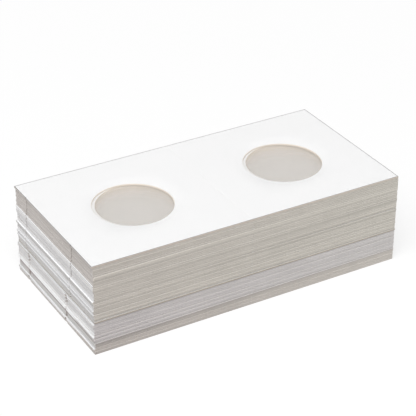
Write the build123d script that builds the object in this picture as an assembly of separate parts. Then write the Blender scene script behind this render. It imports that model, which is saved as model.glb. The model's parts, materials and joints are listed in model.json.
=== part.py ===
from build123d import *
from math import atan2, degrees, sin, sqrt
import os

# A stack of paperboard coin flips, lying open on each other as they come from the box.
# A flip is one die-cut board of two square leaves, with a round window in each leaf and a scored fold
# between them, and a sheet of clear film bonded to its inner face, which lies uppermost.
# The top flip is split at its fold, so that its right leaf turns up and over on to the left one.
# Origin: centre of the lowest flip's underside. +X runs along the open flips, +Z is up. Sizes in mm.

# One flip
leaf_length = 50.8        # from the fold to the end edge
leaf_width = 50.8         # along the fold
board_thickness = 0.53
film_thickness = 0.05
film_margin = 0.4         # the film stops this far inside the board's cut edges
window_diameter = 24.0
window_from_fold = 25.4   # fold to window centre
window_shift = -1.1       # window centre from the middle of the leaf, towards the front edge
window_register = 0.7     # and along X in every flip but the top one, whose windows are cut true
score_radius = 0.22       # rolled score, round about the fold's axis
fold_clearance = 0.1      # between the two halves of the film in a folded flip

# The stack, counted from the top down
loose_count = 4           # flips at the top that lift off one by one
upper_count = 28          # flips in each bundle under them
middle_count = 12
bottom_count = 6
buried_window_sides = 22  # a window that other flips cover has flat facets instead of a round wall

# How the flips have slipped from a true pile
left_steps = {            # from this flip down, the left end stands out this far
    1: 0.2, 2: -0.2, 12: 0.0, 16: -0.25, 21: 0.25, 22: -0.1, 26: 0.25, 27: -0.05, 28: 0.25,
    29: -0.15, 34: 0.2, 36: -0.05, 39: 0.1, 41: 0.25, 43: -0.15, 48: 0.2, 49: 0.0,
}
top_slip = 0.05           # the top flip stands out this far at the front
front_strays = {          # and these ones this far, at the left end and at the right end
    7: (0.25, 0.05), 14: (0.1, 0.2), 20: (0.05, 0.2), 28: (0.2, 0.1), 32: (0.2, 0.2), 40: (0.2, 0.05),
    44: (0.25, 0.05),
}
jog_length = 0.06         # uneven jogging of the flips under the top one, along X and along Y
jog_width = 0.05
jog_angle = 0.05          # degrees about Z
jog_pitches = (2.4, 3.7, 1.9)       # radians a flip, along X, along Y and about Z

# Worked out from the sizes above
flip_pitch = board_thickness + film_thickness
fold_height = flip_pitch + fold_clearance / 2       # fold axis above a flip's underside
score_rise = fold_height - board_thickness          # fold axis above the board's inner face
score_depth = score_radius - score_rise
score_half_width = sqrt(score_radius**2 - score_rise**2)
film_length = leaf_length - film_margin
film_width = leaf_width - 2 * film_margin
stack_count = loose_count + upper_count + middle_count + bottom_count
round_window = Circle(window_diameter / 2)
faceted_window = RegularPolygon(window_diameter / 2, buried_window_sides)


def leaf_sketch(side, window, register=0.0):
    """One leaf from the fold to its end, with its window cut out; side is -1 for left, 1 for right."""
    leaf = Pos(side * leaf_length / 2, 0) * Rectangle(leaf_length, leaf_width)
    return leaf - Pos(side * window_from_fold + register, window_shift) * window


def open_card(window):
    """A whole board with both leaves and a score of V section across its inner face."""
    blank = leaf_sketch(-1, window, window_register) + leaf_sketch(1, window, window_register)
    # the V goes on past the board's face, as far above it as below, so that it cuts cleanly
    vee = Polygon(
        (-2 * score_half_width, score_depth),
        (0, -score_depth),
        (2 * score_half_width, score_depth),
        align=None,
    )
    score = extrude(Plane.XZ * vee, leaf_width, both=True)
    return extrude(blank, board_thickness) - Pos(0, 0, board_thickness) * score


def open_film():
    """The sheet of film that covers both leaves of an open flip."""
    return Pos(0, 0, board_thickness) * extrude(Rectangle(2 * film_length, film_width), film_thickness)


def fold_score():
    """The round score that both leaves of the folding flip turn about."""
    return Pos(0, 0, fold_height) * Rot(90, 0, 0) * Cylinder(score_radius, 2 * leaf_width)


def folding_leaf(side):
    """One leaf of the top flip, with its half of the round score."""
    return extrude(leaf_sketch(side, round_window), board_thickness) - fold_score()


def folding_film(side):
    """The film on one leaf of the top flip."""
    half = Pos(side * film_length / 2, 0) * Rectangle(film_length, film_width)
    return Pos(0, 0, board_thickness) * extrude(half, film_thickness) - fold_score()


def place_of(flip):
    """Where a flip lies: the top one is flip 1, and the lowest lies true on the origin."""
    above_base = stack_count - flip
    step_start = max(first_flip for first_flip in left_steps if first_flip <= flip)
    along = -left_steps[step_start]
    height = above_base * flip_pitch
    if flip == 1:
        return Pos(along, -top_slip, height)
    # sines of unlike pitch give each flip its own small jog
    along += jog_length * sin(jog_pitches[0] * above_base)
    across = jog_width * sin(jog_pitches[1] * above_base)
    turn = jog_angle * sin(jog_pitches[2] * above_base)
    if flip in front_strays:
        at_left, at_right = front_strays[flip]
        across = -(at_left + at_right) / 2
        turn = degrees(atan2(at_left - at_right, 2 * leaf_length))
    return Pos(along, across, height) * Rot(0, 0, turn)


def write(node, solid):
    """Writes one node's solid, or its group of separate solids."""
    export_step(solid, f"parts/{node}.step")


os.makedirs("parts", exist_ok=True)
round_card = open_card(round_window)
faceted_card = open_card(faceted_window)
film = open_film()

# The top flip, in two halves that meet at its fold
for side, name in ((-1, "left"), (1, "right")):
    write(f"top_flip_{name}_leaf", place_of(1) * folding_leaf(side))
    write(f"top_flip_{name}_film", place_of(1) * folding_film(side))

# The other flips that lift off one by one
for flip in range(2, loose_count + 1):
    write(f"flip_{flip:02d}_card", place_of(flip) * round_card)
    write(f"flip_{flip:02d}_film", place_of(flip) * film)

# The bundles: a card of its own for each flip, and the bundle's films as one group of sheets
first = loose_count + 1
for name, count in (("upper", upper_count), ("middle", middle_count), ("bottom", bottom_count)):
    flips = range(first, first + count)
    for flip in flips:
        shows = flip in (first, stack_count)    # seen when the flips over it, or the whole stack, are lifted
        write(f"flip_{flip:02d}_card", place_of(flip) * (round_card if shows else faceted_card))
    write(f"{name}_bundle_films", Compound(children=[place_of(flip) * film for flip in flips]))
    first += count
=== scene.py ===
import json
import math

import bpy
import numpy as np
from mathutils import Matrix, Vector


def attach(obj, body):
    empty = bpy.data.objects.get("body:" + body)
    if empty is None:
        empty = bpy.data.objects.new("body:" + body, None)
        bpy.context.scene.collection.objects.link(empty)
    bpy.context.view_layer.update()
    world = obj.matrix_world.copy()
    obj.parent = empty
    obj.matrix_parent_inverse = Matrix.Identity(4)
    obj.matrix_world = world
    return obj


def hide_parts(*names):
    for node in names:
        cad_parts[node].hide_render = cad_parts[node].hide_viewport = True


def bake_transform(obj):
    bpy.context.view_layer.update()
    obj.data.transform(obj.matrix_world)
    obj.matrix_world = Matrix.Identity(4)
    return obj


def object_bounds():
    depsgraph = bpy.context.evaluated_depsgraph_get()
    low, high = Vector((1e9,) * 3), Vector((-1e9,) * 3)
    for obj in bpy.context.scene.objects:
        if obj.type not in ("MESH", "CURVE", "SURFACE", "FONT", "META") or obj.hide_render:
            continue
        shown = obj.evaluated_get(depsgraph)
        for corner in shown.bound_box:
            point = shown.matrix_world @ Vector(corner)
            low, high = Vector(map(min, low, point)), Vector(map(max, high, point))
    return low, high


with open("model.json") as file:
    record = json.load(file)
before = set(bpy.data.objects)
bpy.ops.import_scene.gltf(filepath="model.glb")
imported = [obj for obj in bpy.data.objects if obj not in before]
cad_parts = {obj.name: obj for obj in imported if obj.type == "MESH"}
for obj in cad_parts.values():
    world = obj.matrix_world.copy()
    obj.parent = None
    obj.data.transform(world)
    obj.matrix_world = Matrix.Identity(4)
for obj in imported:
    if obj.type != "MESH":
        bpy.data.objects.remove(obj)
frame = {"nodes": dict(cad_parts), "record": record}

# A stack of open coin flips: each is one scored board with two round windows and a clear film on it.
# Lengths are in mm, apart from the studio's and the materials', and go into the meshes in metres.
cadLow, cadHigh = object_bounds()
mm = 0.001
scene = bpy.context.scene

# Camera
cameraView = {
    "eye": (-200.35, -343.7, 252.81),
    "aim": (1.176, 1.938, 18.369),
    "roll": 0.335,           # degrees
    "lens": 133.88,
    "sensor": 36.0,
    "clipStart": 10.0,
}


def addCamera():
    # a long lens looks from eye to aim, then rolls about that line
    data = bpy.data.cameras.new("view")
    data.lens = cameraView["lens"]
    data.sensor_width = cameraView["sensor"]
    data.clip_start = cameraView["clipStart"] * mm
    camera = bpy.data.objects.new("view", data)
    scene.collection.objects.link(camera)
    eye = Vector(cameraView["eye"]) * mm
    aim = Vector(cameraView["aim"]) * mm
    look = (aim - eye).to_track_quat("-Z", "Y").to_matrix()
    roll = Matrix.Rotation(math.radians(cameraView["roll"]), 3, "Z")
    camera.matrix_world = Matrix.Translation(eye) @ (look @ roll).to_4x4()
    scene.camera = camera


addCamera()
print("camera: set")

# Sizes and places, read from the frame
nodes = frame["nodes"]
bodies = frame["record"]["behaviour"]["bodies"]
outlineMargin = 2.0          # points nearer to a leaf's outline than this aren't on its window


def nodePoints(*names):
    # all vertices of these nodes as one array
    parts = []
    for name in names:
        mesh = nodes[name].data
        flat = np.empty(len(mesh.vertices) * 3, np.float32)
        mesh.vertices.foreach_get("co", flat)
        parts.append(flat.reshape(-1, 3).astype(float) / mm)
    return np.concatenate(parts)


def measureFlip():
    # the top flip's right leaf gives a leaf's size, and the points inside its outline give the window
    leaf = nodePoints("top_flip_right_leaf")
    low, high = leaf.min(0), leaf.max(0)
    clearOfLow = leaf[:, :2] > low[:2] + outlineMargin
    clearOfHigh = leaf[:, :2] < high[:2] - outlineMargin
    rim = leaf[np.all(clearOfLow & clearOfHigh, axis=1)]
    sheet = nodePoints("top_flip_right_film")
    middle = (low + high) / 2
    rimMiddle = (rim.min(0) + rim.max(0)) / 2
    # in the flips under it the windows' middle lies off the board's middle
    under = nodePoints("flip_02_card")
    underMiddle = (under.min(0) + under.max(0)) / 2
    away = np.abs(under - underMiddle)
    inside = np.all(away[:, :2] < (high - low)[:2] * (1, 0.5) - outlineMargin, axis=1)
    holes = under[inside & (away[:, 0] > outlineMargin)]
    return {
        "length": high[0] - low[0],
        "width": high[1] - low[1],
        "thickness": high[2] - low[2],
        "windowRadius": (rim[:, 0].max() - rim[:, 0].min()) / 2,
        "windowFromFold": rimMiddle[0] - low[0],
        "windowShift": rimMiddle[1] - middle[1],
        "windowRegister": (holes[:, 0].min() + holes[:, 0].max()) / 2 - underMiddle[0],
        "filmLength": sheet[:, 0].max() - low[0],
        "filmWidth": sheet[:, 1].max() - sheet[:, 1].min(),
        "filmThickness": sheet[:, 2].max() - high[2],
        "pitch": sheet[:, 2].max() - low[2],
    }


def placeOf(*names):
    # centre, turn and underside of an open flip, from the four outer corners of its board
    points = nodePoints(*names)
    ways = np.array([(-1, -1), (1, -1), (1, 1), (-1, 1)])
    corners = points[np.argmax(points[:, :2] @ ways.T, axis=0)]
    along = corners[1] - corners[0]
    return {
        "centre": corners[:, :2].mean(0),
        "turn": math.atan2(along[1], along[0]),
        "underside": points[:, 2].min(),
    }


flip = measureFlip()
stackHeight = (cadHigh.z - cadLow.z) / mm
print("flip: leaf %.1f x %.1f x %.2f, window %.1f across" % (
    flip["length"], flip["width"], flip["thickness"], 2 * flip["windowRadius"]))


def numberOf(place):
    # the flip's number, counted from the top
    return round((stackHeight - place["underside"]) / flip["pitch"])


# Materials
noiseSpan = (0.3, 0.7)       # nearly all of a noise lies between these


def newMaterial(name):
    material = bpy.data.materials.new(name)
    material.use_nodes = True
    tree = material.node_tree
    return material, tree, tree.nodes["Principled BSDF"]


def addNode(tree, kind, **inputs):
    # a node with its unlinked inputs set by name, spaces left out
    node = tree.nodes.new("ShaderNode" + kind)
    for socket in node.inputs:
        key = socket.name.replace(" ", "")
        key = key[0].lower() + key[1:] if key else key
        if key in inputs and socket.enabled:
            socket.default_value = inputs[key]
    return node


def addNoise(tree, scale, stretch=(1, 1, 1), detail=3.0):
    # noise on Object coordinates; scale is features a metre, stretch multiplies it along X, Y and Z
    place = tree.nodes.new("ShaderNodeTexCoord")
    mapping = addNode(tree, "Mapping", scale=stretch)
    noise = addNode(tree, "TexNoise", scale=scale, detail=detail)
    tree.links.new(place.outputs["Object"], mapping.inputs["Vector"])
    tree.links.new(mapping.outputs["Vector"], noise.inputs["Vector"])
    return noise.outputs["Fac"]


def addRange(tree, value, low, high):
    # a noise spread over low to high
    fromMin, fromMax = noiseSpan
    node = addNode(tree, "MapRange", fromMin=fromMin, fromMax=fromMax, toMin=low, toMax=high)
    tree.links.new(value, node.inputs["Value"])
    return node.outputs["Result"]


def addScaled(tree, colour, factors):
    # a colour times one grey factor after another
    for factor in factors:
        node = tree.nodes.new("ShaderNodeVectorMath")
        node.operation = "SCALE"
        tree.links.new(colour, node.inputs[0])
        tree.links.new(factor, node.inputs["Scale"])
        colour = node.outputs["Vector"]
    return colour


def addBump(tree, shader, height, distance):
    node = addNode(tree, "Bump", distance=distance, strength=1.0)
    tree.links.new(height, node.inputs["Height"])
    tree.links.new(node.outputs["Normal"], shader.inputs["Normal"])


def addTint(tree):
    node = tree.nodes.new("ShaderNodeAttribute")
    node.attribute_name = "boardTint"
    return node.outputs["Color"]


boardFace = {
    "white": (0.94, 0.948, 0.962),
    "drift": 0.012,          # how far the white drifts, in clouds and along the fibres
    "cloudScale": 90,
    "fibreScale": 5200,
    "fibreStretch": (1, 0.35, 1),
    "roughness": (0.5, 0.62),
    "roughnessScale": 900,
    "specular": 0.3,
    "tooth": 0.004 * mm,     # depth of the paper's grain
    "toothScale": 4200,
    "toothDetail": 5.0,
}


def makeBoardFace():
    # smooth white paper: faint cloudiness, fine tooth
    material, tree, shader = newMaterial("coated board face")
    darkest = 1 - boardFace["drift"]
    cloud = addRange(tree, addNoise(tree, boardFace["cloudScale"]), darkest, 1)
    fibres = addNoise(tree, boardFace["fibreScale"], boardFace["fibreStretch"])
    fibre = addRange(tree, fibres, darkest, 1)
    colour = addScaled(tree, addTint(tree), (cloud, fibre))
    tree.links.new(colour, shader.inputs["Base Color"])
    rough = addRange(tree, addNoise(tree, boardFace["roughnessScale"]), *boardFace["roughness"])
    tree.links.new(rough, shader.inputs["Roughness"])
    shader.inputs["Specular IOR Level"].default_value = boardFace["specular"]
    grain = addNoise(tree, boardFace["toothScale"], detail=boardFace["toothDetail"])
    addBump(tree, shader, grain, boardFace["tooth"])
    return material


boardEdge = {
    # contrast, features a metre, stretch along X, Y and Z, and detail
    "ply": (0.045, 40, (1, 1, 280), 4.0),            # fibre layers in the cut
    "patch": (0.03, 70, (1, 1, 3), 3.0),             # slow drift of tone along the edge
    "drag": (0.025, 2600, (1, 1, 0.08), 3.0),        # upright marks that the die left
    "roughness": 0.85,
    "specular": 0.2,
    "fuzz": 0.02 * mm,       # depth of the loose fibres
    "fuzzScale": 2400,
    "fuzzStretch": (1, 1, 5),
    "fuzzDetail": 5.0,
}


def makeBoardEdge():
    # raw cut board: thin fibre layers along the edge, slow patches, upright drag marks
    material, tree, shader = newMaterial("die-cut board edge")
    shares = []
    for mark in ("ply", "patch", "drag"):
        contrast, scale, stretch, detail = boardEdge[mark]
        noise = addNoise(tree, scale, stretch, detail)
        shares.append(addRange(tree, noise, 1 - contrast, 1 + contrast))
    tree.links.new(addScaled(tree, addTint(tree), shares), shader.inputs["Base Color"])
    shader.inputs["Roughness"].default_value = boardEdge["roughness"]
    shader.inputs["Specular IOR Level"].default_value = boardEdge["specular"]
    fuzz = addNoise(tree, boardEdge["fuzzScale"], boardEdge["fuzzStretch"], boardEdge["fuzzDetail"])
    addBump(tree, shader, fuzz, boardEdge["fuzz"])
    return material


clearFilm = {
    "haze": 0.10,            # share of light that each surface keeps
    "tone": (0.965, 0.94, 0.905, 1.0),
    "ior": 1.6,
    "roughness": (0.05, 0.12),
    "roughnessScale": 420,
    "ripple": 0.006 * mm,
    "rippleScale": 160,
}


def makeClearFilm():
    # clear film: mostly let through, a little gloss and haze, slow ripples
    material, tree, shader = newMaterial("clear film")
    shader.inputs["Base Color"].default_value = clearFilm["tone"]
    shader.inputs["Alpha"].default_value = clearFilm["haze"]
    shader.inputs["IOR"].default_value = clearFilm["ior"]
    rough = addRange(tree, addNoise(tree, clearFilm["roughnessScale"]), *clearFilm["roughness"])
    tree.links.new(rough, shader.inputs["Roughness"])
    addBump(tree, shader, addNoise(tree, clearFilm["rippleScale"]), clearFilm["ripple"])
    return material


faceMaterial = makeBoardFace()
edgeMaterial = makeBoardEdge()
filmMaterial = makeClearFilm()
print("materials: board face, board edge, clear film")

# Tones of the boards' zones; flips are counted from the top of the stack down
zoneFace, zoneLong, zoneEnd, zoneWindow, zoneLongRim, zoneEndRim, zoneFold = range(7)
edgeTones = {
    # long edges of each lot
    "topLong": (0.60, 0.535, 0.478),
    "upperLong": (0.59, 0.556, 0.508),
    "middleLong": (0.60, 0.572, 0.57),
    "bottomLong": (0.578, 0.538, 0.504),
    # painted light and shade: the long edges darken towards the left end and lighten to the right,
    # standing in for more light from the right
    "leftShare": (0.96, 0.945, 0.945),
    "rightShare": (1.05, 1.06, 1.045),
    # window walls, the top flip's with painted light that lifts it out of the shade under its rim; and
    # the faces' rim, a darker band along the cut
    "window": (0.97, 0.83, 0.675),
    "topWindow": (1.0, 0.90, 0.79),
    "rim": (0.60, 0.575, 0.545),
    "topRim": (0.26, 0.25, 0.24),
    # flips whose rim along the long edges is darker still, painted shadow lines under an overhanging
    # flip and between the lots; and flips whose rim is this share of white at the ends
    "darkRims": {14: 0.9, 20: 0.8, 32: 0.8, 44: 0.8},
    "cleanRims": {12: 1.0, 21: 1.0, 26: 0.8, 28: 0.75, 34: 0.75, 41: 1.0, 48: 0.8},
    # tones of the end edges, and the flip that each run of one tone begins with; over the board's own
    # tone, the light and dark runs are painted light and painted shade of flips that step out and sit
    # back
    "endBeige": (0.568, 0.53, 0.505),
    "endBrown": (0.50, 0.462, 0.46),
    "endDark": (0.595, 0.583, 0.573),
    "endMid": (0.72, 0.71, 0.713),
    "endLight": (0.795, 0.79, 0.795),
    "endBright": (0.92, 0.92, 0.925),
    "endRuns": (
        (1, "endBeige"), (12, "endLight"), (14, "endMid"), (20, "endLight"), (21, "endDark"),
        (24, "endMid"), (29, "endDark"), (34, "endMid"), (39, "endLight"), (40, "endBright"),
        (43, "endBrown"), (45, "endDark"), (48, "endMid"), (49, "endBeige"),
    ),
    "endSlope": 1.7,         # in the two lower lots the runs rise to the front by this many flips
    "endFade": 0.06,         # the ends darken towards the front by this share
    "endDrift": 0.05,        # how far the ends differ from one flip to the next
    "endDriftTurn": 17.9,    # radians a mm of height
    "longDrift": 0.03,       # how far the long edges' lines come and go
    "longDriftLength": 48.0,             # mm a radian
    "longDriftTurns": (5.3, 1.7),        # radians a flip, for a line's strength and its place
    "torn": 0.95,            # lower part of the cut, darker where the board tore instead of shearing, and painted shade where it meets the flip below
    "seams": {32: (0.64, 0.56, 0.49), 44: (0.7, 0.67, 0.65)},        # and in a lot's lowest flip, darker still: a painted shadow line between the lots
    "upperNick": (0.45, 0.41, 0.39),
    "lowerNick": (0.27, 0.18, 0.14),
    # single flips that stand out on the long edges: share at the left, share at the right; partly the
    # flips' own tone, partly painted light and shade of flips that stand out or sit back
    "longLines": {
        3: (1.0, 0.95), 4: (0.97, 1.0), 5: (0.94, 1.0), 7: (1.18, 1.04), 8: (1.22, 1.04),
        9: (0.9, 1.0), 11: (0.95, 0.97), 13: (1.04, 1.0), 14: (1.04, 0.9), 15: (0.98, 0.95),
        20: (0.97, 0.93), 21: (0.95, 0.95), 22: (1.06, 1.02), 27: (0.96, 1.0), 29: (1.18, 1.1),
        30: (1.08, 1.02), 31: (1.0, 1.05), 32: (0.97, 0.95), 33: (0.86, 1.06), 34: (1.06, 1.05),
        35: (0.89, 1.02), 38: (0.95, 1.0), 39: (0.91, 0.98), 41: (1.16, 1.0), 42: (1.1, 1.03),
        45: (0.8, 0.96), 46: (0.78, 1.0), 47: (0.93, 1.0), 49: (0.93, 1.0), 50: (0.88, 1.0),
    },
}


def tonesOf(place, lot):
    # tones of one board, in the order of the zones
    number = numberOf(place)
    isTop = number == 1
    drift = edgeTones["endDrift"] * math.sin(place["underside"] * edgeTones["endDriftTurn"])
    rim = np.array(edgeTones["topRim" if isTop else "rim"])
    endWhite = edgeTones["cleanRims"].get(number)
    return np.array((
        boardFace["white"],
        edgeTones[lot + "Long"],
        (1 + drift,) * 3,
        # the top flip's window wall takes painted light
        edgeTones["topWindow" if isTop else "window"],
        # painted shadow lines darken the rims of a few flips
        rim * edgeTones["darkRims"].get(number, 1.0),
        np.array(boardFace["white"]) * endWhite if endWhite else rim,
        boardFace["white"],
    ))


def longShare(number, x):
    # share of the long edges' tone along x: a fade from end to end that is painted light and shade, a
    # slow wave, and the flip's own line, partly painted light and shade
    along = (np.clip(x / flip["length"], -1, 1) / 2 + 0.5)[..., None]
    leftShare, rightShare = np.array(edgeTones["leftShare"]), np.array(edgeTones["rightShare"])
    fade = leftShare + (rightShare - leftShare) * along
    strength, start = (turn * number for turn in edgeTones["longDriftTurns"])
    wave = math.sin(strength) * np.cos(x / edgeTones["longDriftLength"] + start)[..., None]
    left, right = edgeTones["longLines"].get(number, (1.0, 1.0))
    return fade * (1 + edgeTones["longDrift"] * wave) * (left + (right - left) * along)


def endTone(number, slope, y, nick, nickTone):
    # tone of the ends along y: that of the run there, with its painted light and shade, darker to the
    # front, and browner in a nick
    across = y / flip["width"]
    firsts = [first for first, tone in edgeTones["endRuns"]]
    runs = np.array([edgeTones[tone] for first, tone in edgeTones["endRuns"]])
    # the half lets a run change between two flips
    run = np.searchsorted(firsts, number + 0.5 - slope * across, side="right") - 1
    fade = 1 + edgeTones["endFade"] * across
    nickShade = 1 - nick[..., None] * (1 - np.array(nickTone))
    return runs[np.maximum(run, 0)] * fade[..., None] * nickShade


# Boards
board = {
    "rimRoll": 0.03,         # the die rolls the cut edges over this far
    "rollStep": 0.3,         # share of the roll at its middle station
    "scoreDepth": 0.04,
    "scoreHalf": 0.3,
    "foldReach": 0.5,        # columns of points crowd up to the fold from here
    "topRimWidth": 0.24,     # width of the faces' darker rim, on the top flip and on the others
    "rimWidth": 0.28,
    "foldPoints": 1.5,       # extra points lie this many rim widths in from the fold's ends
    "foldTone": 1.01,        # and the fold has the rim's tone over this many
    "rightEnd": 50.7,        # the right ends under the top flip lie in one line here
    "tearHeight": 0.22,      # the cut tears below this height and shears above it
    "faceReach": (0.33, 0.67),           # stations from window to edge, on the face and the underside
    "underReach": (0.5,),
    "topColumns": 9,         # stations across the rim, on the top flip and on the others
    "columns": 4,
    "longSteps": 20,
    "endSteps": 15,
    "foldSteps": 16,
    "nickSteps": 5,
    # nicks, left uncut to hold the blanks together in the sheet and then torn through: where they lie
    # along the end edges, how far they wander from flip to flip and how far by chance
    "nickDepth": 0.25,
    "chanceTurn": 2.9,       # radians a flip
    "upperNicks": (17.4, -12.4),
    "upperWander": 0.07,
    "upperChance": 0.08,
    "upperWidth": 0.8,
    "upperFaint": (20, 0.45),            # fainter below this flip
    "lowerNicks": (17.3, -8.0),
    "lowerWander": 0.07,
    "lowerChance": 0.3,
    "lowerWidth": 1.4,
    "lowerBeat": (36, 10, 0.4),          # darkest at this flip and every so many, fainter between
}
# the flip from which each level's nicks begin to wander; the lower ones do so below the upper bundle
upperDepth = stackHeight - nodePoints("upper_bundle_films")[:, 2].min()
wanderStart = {"upper": 0, "lower": round(upperDepth / flip["pitch"])}


def nickShare(number, level):
    # how dark a flip's nicks are: the upper ones fade below one flip, the lower ones vary as a cosine
    if level == "upper":
        last, faint = board["upperFaint"]
        return 1.0 if number <= last else faint
    darkest, every, faint = board["lowerBeat"]
    return 1 - faint * (1 - math.cos(2 * math.pi * (number - darkest) / every))


def leafRing(nicks, nickWidth, length):
    # once round a leaf from the front of its fold: even points along each side, more across each nick
    half = flip["width"] / 2
    long = np.linspace(0, length, board["longSteps"], endpoint=False)
    spread = np.linspace(-0.5, 0.5, board["nickSteps"]) * nickWidth
    end = np.linspace(-half, half, board["endSteps"], endpoint=False)
    end = np.sort(np.concatenate((end, np.add.outer(np.array(nicks), spread).ravel())))
    fold = np.linspace(half, -half, board["foldSteps"], endpoint=False)
    inside = half - board["foldPoints"] * board["rimWidth"]
    fold = np.sort(np.concatenate((fold, (inside, -inside))))[::-1]
    x = np.concatenate((long, np.full(end.size, length), length - long, np.zeros(fold.size)))
    y = np.concatenate((np.full(long.size, -half), end, np.full(long.size, half), fold))
    side = np.repeat(np.arange(4), (long.size, end.size, long.size, fold.size))
    before = np.roll(side, 1)
    # a corner lies on both of its sides
    on = [(side == k) | (before == k) & (before != side) for k in range(4)]
    gap = np.abs(np.subtract.outer(y, np.array(nicks)))
    notch = np.cos(np.clip(gap / nickWidth, 0, 0.5) * math.pi)**2
    return {
        "x": x,
        "y": y,
        "isEndSide": (side == 1)[:, None],
        "isFoldSide": (side == 3)[:, None],
        "front": on[0][:, None],
        "end": on[1][:, None],
        "back": on[2][:, None],
        "fold": on[3][:, None],
        "nick": (notch.sum(1) * on[1])[:, None],
    }


def leafProfile(columns, rimWidth):
    # the closed section that is carried round the ring: window rim, face, edge, underside, window rim
    # reach is 0 at the window and 1 at the edge; insets draw a station back from window, cut and fold
    t = flip["thickness"]
    roll = np.array((0, board["rollStep"], 1)) * board["rimRoll"]
    faceReach, underReach = np.array(board["faceReach"]), np.array(board["underReach"])
    lead = roll.size + faceReach.size
    tail = underReach.size + roll.size
    flat = columns - roll.size + 1
    cut = np.concatenate((np.linspace(rimWidth, board["rimRoll"], flat), roll[-2::-1]))
    cutDrop = np.concatenate((np.zeros(flat), roll[1:]))
    fold = board["foldReach"] * (1 - np.sin(np.linspace(0, math.pi / 2, columns)))
    score = board["scoreDepth"] * np.cos(np.clip(fold / board["scoreHalf"], 0, 1) * math.pi / 2)**2
    top = np.concatenate((t - roll[::-1], np.full(faceReach.size, t)))
    under = np.concatenate((np.zeros(underReach.size), roll))
    tear = (board["tearHeight"],)
    zeros = np.zeros
    return {
        "reach": np.concatenate((
            zeros(roll.size), faceReach, np.ones(2 * columns + 1), underReach, zeros(roll.size))),
        "windowInset": np.concatenate((
            roll, zeros(faceReach.size + 2 * columns + 1 + underReach.size), roll[::-1])),
        "cutInset": np.concatenate((zeros(lead), cut, (0,), cut[::-1], zeros(tail))),
        "foldInset": np.concatenate((zeros(lead), fold, (0,), fold[::-1], zeros(tail))),
        "cutHeight": np.concatenate((top, t - cutDrop, tear, cutDrop[::-1], under)),
        "foldHeight": np.concatenate((top, t - score, tear, zeros(columns), under)),
        "rollSpans": roll.size - 1,
        "rimStart": lead,                # the first station of the face's rim
        "wall": lead + columns - 1,      # the station at the top of the cut edge
    }


def leafSurface(ring, profile, rimWidth, register):
    # point (u, v) lies on the line from the window's rim, at ring point u's bearing, to ring point u
    centreX, centreY = flip["windowFromFold"] + register, flip["windowShift"]
    ringX, ringY = ring["x"][:, None], ring["y"][:, None]
    bearing = np.arctan2(ringY - centreY, ringX - centreX)
    radius = flip["windowRadius"] + profile["windowInset"]
    reach = profile["reach"]
    cut, fold = profile["cutInset"], profile["foldInset"]
    isEdge = np.abs(cut) < rimWidth / 2
    nick = board["nickDepth"] * ring["nick"] * isEdge * (reach == 1)
    edgeX = ringX - ring["end"] * cut - nick + ring["fold"] * fold
    edgeY = ringY + (ring["front"] * 1.0 - ring["back"]) * cut
    x = (centreX + radius * np.cos(bearing)) * (1 - reach) + edgeX * reach
    y = (centreY + radius * np.sin(bearing)) * (1 - reach) + edgeY * reach
    # at a corner of the fold the lower of two face heights holds, and the higher of two under heights
    onCut = ring["front"] | ring["end"] | ring["back"]
    atCut, atFold = profile["cutHeight"], profile["foldHeight"]
    isFace = np.arange(reach.size) <= profile["wall"]
    both = np.where(isFace, np.minimum(atCut, atFold), np.maximum(atCut, atFold))
    z = np.where(onCut & ring["fold"], both, np.where(ring["fold"], atFold, atCut))
    return np.stack(np.broadcast_arrays(x, y, z), axis=-1)


def boardSurface(nicks, nickWidth, columns, rimWidth, register, rightLength):
    # the right leaf's grid and the left one's, made as a right one and mirrored, welded at the fold
    # a mask marks the quads in the lower, torn part of the cut, which also takes painted shade; nick
    # is each point's share of a nick
    profile = leafProfile(columns, rimWidth)
    ring = leafRing(nicks, nickWidth, rightLength)
    leftRing = leafRing(nicks, nickWidth, flip["length"])
    rightGrid = leafSurface(ring, profile, rimWidth, register)
    leftGrid = leafSurface(leftRing, profile, rimWidth, -register)
    rounds, stations = rightGrid.shape[:2]
    count = rounds * stations
    index = np.arange(count).reshape(rounds, stations)
    nextRound = np.roll(index, -1, axis=0)
    quads = np.stack((index, np.roll(index, -1, 1), np.roll(nextRound, -1, 1), nextRound), axis=-1)
    station = np.arange(stations)[None, :]
    wall, spans = profile["wall"], profile["rollSpans"]
    isFold, isEnd = ring["isFoldSide"], ring["isEndSide"]
    isWindow = (station < spans) | (station >= stations - spans - 1)
    isEdge = (station >= wall - spans) & (station <= wall + spans + 1)
    isRim = (station >= profile["rimStart"]) & (station < wall - spans)
    zone = np.select(
        (isWindow, isFold & (isEdge | isRim), isEdge & isEnd, isEdge, isRim & isEnd, isRim),
        (zoneWindow, zoneFold, zoneEnd, zoneLong, zoneEndRim, zoneLongRim), zoneFace)
    torn = (station > wall) & (zone != zoneFace)
    # the two leaves share the points of the fold's wall and lose its quads
    keep = ~(isFold & ((station == wall) | (station == wall + 1)))
    atFold = (ring["fold"] & (station >= wall) & (station <= wall + 2)).ravel()
    leftIndex = np.where(atFold, np.arange(count), count + np.arange(count))
    points = np.concatenate((rightGrid.reshape(-1, 3), leftGrid.reshape(-1, 3) * (-1, 1, 1)))
    allQuads = np.concatenate((quads[keep], leftIndex[quads[keep]][:, ::-1]))
    used, packed = np.unique(allQuads, return_inverse=True)
    nick = np.tile(np.broadcast_to(ring["nick"], index.shape).ravel(), 2)
    return {
        "points": points[used],
        "quads": packed.reshape(allQuads.shape),
        "zone": np.tile(zone[keep], 2),
        "torn": np.tile(torn[keep], 2),
        "nick": nick[used],
    }


def signedVolume(points, quads):
    # the sum of the pyramids from the origin to each quad's two triangles
    a, b, c, d = (points[quads[:, k]] for k in range(4))
    return np.einsum("ij,ij->i", a, np.cross(b, c) + np.cross(c, d)).sum() / 6


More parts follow.
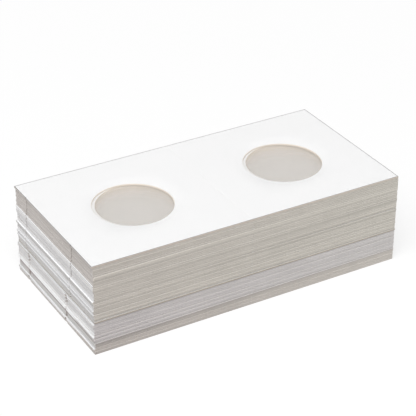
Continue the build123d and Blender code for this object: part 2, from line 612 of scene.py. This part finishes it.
def laid(points, place):
    # turns a flip's points about its centre and moves them to its place
    c, s = math.cos(place["turn"]), math.sin(place["turn"])
    x, y = points[:, 0], points[:, 1]
    return np.stack((
        place["centre"][0] + c * x - s * y,
        place["centre"][1] + s * x + c * y,
        place["underside"] + points[:, 2],
    ), axis=1)


sharpAngle = 32              # degrees; edges bent further than this stay crisp


def addPiece(name, points, quads, materials):
    # points and outward quads go straight into a new mesh
    mesh = bpy.data.meshes.new(name)
    mesh.vertices.add(len(points))
    mesh.vertices.foreach_set("co", (points * mm).astype(np.float32).ravel())
    mesh.loops.add(quads.size)
    mesh.loops.foreach_set("vertex_index", quads.astype(np.int32).ravel())
    mesh.polygons.add(len(quads))
    mesh.polygons.foreach_set("loop_start", np.arange(0, quads.size, 4, dtype=np.int32))
    mesh.update(calc_edges=True)
    mesh.polygons.foreach_set("use_smooth", np.ones(len(quads), bool))
    mesh.set_sharp_from_angle(angle=math.radians(sharpAngle))
    for material in materials:
        mesh.materials.append(material)
    piece = bpy.data.objects.new(name, mesh)
    scene.collection.objects.link(piece)
    return piece


def tintOf(surface, place, lot, level, rimWidth):
    # the tone at each corner of each quad: its zone's, times the share of the place along the edge
    number = numberOf(place)
    zone, quads = surface["zone"], surface["quads"]
    corners = surface["points"][quads]
    isLong, isEnd = ((zone == k)[:, None, None] for k in (zoneLong, zoneEnd))
    nick = surface["nick"] * nickShare(number, level)
    slope = edgeTones["endSlope"] if level == "lower" else 0.0
    ends = endTone(number, slope, corners[..., 1], nick[quads], edgeTones[level + "Nick"])
    share = np.where(isEnd, ends, np.where(isLong, longShare(number, corners[..., 0]), 1.0))
    # the torn part's share with its painted shade, and a painted shadow line at a lot's lowest flip
    seam = np.array(edgeTones["seams"].get(number, (edgeTones["torn"],) * 3))
    isTornAndShade = surface["torn"] & (zone < zoneWindow)
    tones = tonesOf(place, lot)
    tint = (tones[zone] * np.where(isTornAndShade[:, None], seam, 1.0))[:, None, :] * share
    # where the fold runs out to the long edges it takes the rim's tone
    outside = np.abs(corners[..., 1]) > flip["width"] / 2 - board["foldTone"] * rimWidth
    tint[(zone == zoneFold)[:, None] & outside] = tones[zoneLongRim]
    return tint


def paintBoard(piece, tint, zone):
    # each face corner's tone, and the edge material on the cut edges and window walls
    mesh = piece.data
    colours = np.ones((*tint.shape[:2], 4))
    colours[:, :, :3] = tint
    attribute = mesh.color_attributes.new("boardTint", "FLOAT_COLOR", "CORNER")
    attribute.data.foreach_set("color", colours.astype(np.float32).ravel())
    isCut = np.isin(zone, (zoneLong, zoneEnd, zoneWindow))
    mesh.polygons.foreach_set("material_index", isCut.astype(np.int32))


def addBoard(name, place, lot):
    # one board at its place, with its nicks and tones
    number = numberOf(place)
    level = "lower" if lot in ("middle", "bottom") else "upper"
    wander = board[level + "Wander"] * (number - wanderStart[level])
    chance, turn = board[level + "Chance"], board["chanceTurn"] * number
    nicks = tuple(at + wander + chance * math.sin(turn + at) for at in board[level + "Nicks"])
    if number == 1:
        columns, rimWidth = board["topColumns"], board["topRimWidth"]
        register, rightLength = 0.0, flip["length"]
    else:
        columns, rimWidth = board["columns"], board["rimWidth"]
        register, rightLength = flip["windowRegister"], board["rightEnd"] - place["centre"][0]
    surface = boardSurface(nicks, board[level + "Width"], columns, rimWidth, register, rightLength)
    if signedVolume(surface["points"], surface["quads"]) < 0:
        surface["quads"] = surface["quads"][:, ::-1]
    points = laid(surface["points"], place)
    piece = addPiece(name, points, surface["quads"], (faceMaterial, edgeMaterial))
    paintBoard(piece, tintOf(surface, place, lot, level, rimWidth), surface["zone"])
    return piece


# Films
film = {
    "gap": 0.004,            # keeps the film's surfaces off the boards
    "sag": 0.01,             # dips this far at the middle of a window
    "longSteps": 48,
    "widthSteps": 24,
    "foldReach": 0.5,        # on the top flip, columns of points crowd up to the fold from here
    "foldColumns": 6,
}


def filmSurface(isTop):
    # a sheet over both leaves: face and underside on one grid, joined round the rim; in each window it
    # sags by a squared cosine of the distance from the window's middle
    half = flip["filmWidth"] / 2
    register = 0.0 if isTop else flip["windowRegister"]
    x = np.linspace(-flip["filmLength"], flip["filmLength"], film["longSteps"] + 1)
    if isTop:
        crowd = film["foldReach"] * (1 - np.sin(np.linspace(0, math.pi / 2, film["foldColumns"])))
        x = np.unique(np.concatenate((x[np.abs(x) > film["foldReach"]], crowd, -crowd)))
    y = np.linspace(-half, half, film["widthSteps"] + 1)
    gridX, gridY = np.meshgrid(x, y, indexing="ij")
    fromMiddle = np.abs(gridX) - flip["windowFromFold"] - np.sign(gridX) * register
    away = np.hypot(fromMiddle, gridY - flip["windowShift"]) / flip["windowRadius"]
    dip = film["sag"] * np.cos(np.clip(away, 0, 1) * math.pi / 2)**2
    low = flip["thickness"] + film["gap"] - dip
    high = flip["thickness"] + flip["filmThickness"] - film["gap"] - dip
    layers = np.stack([np.stack((gridX, gridY, z), -1) for z in (low, high)])
    under, face = np.arange(layers[..., 0].size).reshape(2, x.size, y.size)

    def patch(a, b, c, d):
        return np.stack((a, b, c, d), -1).reshape(-1, 4)

    quads = np.concatenate((
        patch(face[:-1, :-1], face[1:, :-1], face[1:, 1:], face[:-1, 1:]),
        patch(under[:-1, :-1], under[:-1, 1:], under[1:, 1:], under[1:, :-1]),
        patch(under[:-1, 0], under[1:, 0], face[1:, 0], face[:-1, 0]),
        patch(under[1:, -1], under[:-1, -1], face[:-1, -1], face[1:, -1]),
        patch(under[0, 1:], under[0, :-1], face[0, :-1], face[0, 1:]),
        patch(under[-1, :-1], under[-1, 1:], face[-1, 1:], face[-1, :-1]),
    ))
    return layers.reshape(-1, 3), quads


def addFilms(name, places, isTop=False):
    # one sheet for each place, together in one mesh
    points, quads = filmSurface(isTop)
    allPoints = np.concatenate([laid(points, place) for place in places])
    allQuads = np.concatenate([quads + k * len(points) for k in range(len(places))])
    piece = addPiece(name, allPoints, allQuads, (filmMaterial,))
    return piece


# The top flip, its board scored at the fold and its film, both lying flat
topBodies = ("top_flip", "top_flip_fold_leaf")
topLeaves = ("top_flip_left_leaf", "top_flip_right_leaf")
topPlace = placeOf(*topLeaves)


def bendAtFold(piece):
    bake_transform(piece)


topBoard = addBoard("top_flip_board", topPlace, "top")
bendAtFold(topBoard)
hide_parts(*topLeaves)
topFilm = addFilms("top_flip_film_sheet", [topPlace], isTop=True)
bendAtFold(topFilm)
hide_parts("top_flip_left_film", "top_flip_right_film")

# The other flips, body by body; the loose ones look as the upper bundle does
for body, members in bodies.items():
    if body in topBodies:
        continue
    lot = body.split("_")[0] if body.endswith("_bundle") else "upper"
    cards = sorted(name for name in members if name.endswith("_card"))
    places = [placeOf(card) for card in cards]
    for card, place in zip(cards, places):
        piece = addBoard(card.replace("_card", "_board"), place, lot)
        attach(piece, body)
        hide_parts(card)
    for sheets in (name for name in members if "film" in name):
        piece = addFilms(sheets.replace("film", "film_sheet"), places)
        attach(piece, body)
        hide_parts(sheets)
    print("%s: %d boards and films" % (body, len(cards)))

# Studio, in metres
studio = {
    "world": 0.38,           # soft light from all round
    "keyPlace": (-0.85, -0.8, 1.85),     # high on the left and in front, to light ledges and windows
    "keyAim": (0, 0, 0.01),
    "keySize": 2.0,
    "keyPower": 43.2,
    "floorBounce": 0.8,
    "floorSeen": 0.3,        # share of the floor's shading that shows, the rest is plain white
    "floorFade": (0.15, 0.5),            # that share falls to nothing between these distances
    "floorSize": 6.0,
    "floorGap": 0.02 * mm,   # keeps the floor off the lowest flip
    "filmSurfaces": 128,     # light goes on through this many surfaces of film
}


def grey(value):
    return (value, value, value, 1)


def addKeyLamp():
    # one large round lamp turned to its aim
    data = bpy.data.lights.new("key", "AREA")
    data.shape = "DISK"
    data.size = studio["keySize"]
    data.energy = studio["keyPower"]
    lamp = bpy.data.objects.new("key", data)
    scene.collection.objects.link(lamp)
    place, aim = Vector(studio["keyPlace"]), Vector(studio["keyAim"])
    turn = (aim - place).to_track_quat("-Z", "Y").to_matrix().to_4x4()
    lamp.matrix_world = Matrix.Translation(place) @ turn


def seenDirectly(tree):
    # 1 for rays from the camera, and for rays off gloss or through film
    path = tree.nodes.new("ShaderNodeLightPath")
    most = path.outputs["Is Camera Ray"]
    for name in ("Is Glossy Ray", "Is Transmission Ray"):
        pick = tree.nodes.new("ShaderNodeMath")
        pick.operation = "MAXIMUM"
        tree.links.new(most, pick.inputs[0])
        tree.links.new(path.outputs[name], pick.inputs[1])
        most = pick.outputs["Value"]
    return most


def addMix(tree, share, first, second):
    # the first shader where share is 0, the second where it is 1
    mix = tree.nodes.new("ShaderNodeMixShader")
    tree.links.new(share, mix.inputs["Fac"])
    tree.links.new(first, mix.inputs[1])
    tree.links.new(second, mix.inputs[2])
    return mix.outputs["Shader"]


def makeWorld():
    # even grey light on the object, plain white where it is seen
    world = bpy.data.worlds.new("studio")
    world.use_nodes = True
    tree = world.node_tree
    light = tree.nodes["Background"]
    light.inputs["Strength"].default_value = studio["world"]
    light.inputs["Color"].default_value = grey(1)
    white = addNode(tree, "Background", strength=1.0, color=grey(1))
    backgrounds = (light.outputs["Background"], white.outputs["Background"])
    surface = addMix(tree, seenDirectly(tree), *backgrounds)
    tree.links.new(surface, tree.nodes["World Output"].inputs["Surface"])
    scene.world = world


def floorShare(tree):
    # share of shading by distance from the stack
    near, far = studio["floorFade"]
    place = tree.nodes.new("ShaderNodeTexCoord")
    away = tree.nodes.new("ShaderNodeVectorMath")
    away.operation = "LENGTH"
    fade = addNode(tree, "MapRange", fromMin=near, fromMax=far, toMin=studio["floorSeen"], toMax=0.0)
    tree.links.new(place.outputs["Object"], away.inputs[0])
    tree.links.new(away.outputs["Value"], fade.inputs["Value"])
    return fade.outputs["Result"]


def makeFloor():
    # bounces light as plain card, and looks white with a pale shadow near the stack
    material, tree, shader = newMaterial("floor")
    bounce = addNode(tree, "BsdfDiffuse", color=grey(studio["floorBounce"]))
    shaded = addNode(tree, "BsdfDiffuse", color=grey(1))
    white = addNode(tree, "Emission", color=grey(1), strength=1.0)
    seen = addMix(tree, floorShare(tree), white.outputs["Emission"], shaded.outputs["BSDF"])
    surface = addMix(tree, seenDirectly(tree), bounce.outputs["BSDF"], seen)
    tree.links.new(surface, tree.nodes["Material Output"].inputs["Surface"])
    tree.nodes.remove(shader)
    return material


def addFloor():
    # a flat square under the stack
    side = np.array((-1, 1)) * studio["floorSize"] / 2
    x, y = np.meshgrid(side, side)
    z = np.full(x.shape, cadLow.z - studio["floorGap"])
    mesh = bpy.data.meshes.new("floor")
    mesh.from_pydata(np.stack((x, y, z), -1).reshape(-1, 3).tolist(), [], [(0, 1, 3, 2)])
    mesh.materials.append(makeFloor())
    floor = bpy.data.objects.new("floor", mesh)
    scene.collection.objects.link(floor)


makeWorld()
addFloor()
addKeyLamp()
scene.view_settings.view_transform = "Standard"
scene.cycles.transparent_max_bounces = studio["filmSurfaces"]
print("studio: world, floor, key lamp")
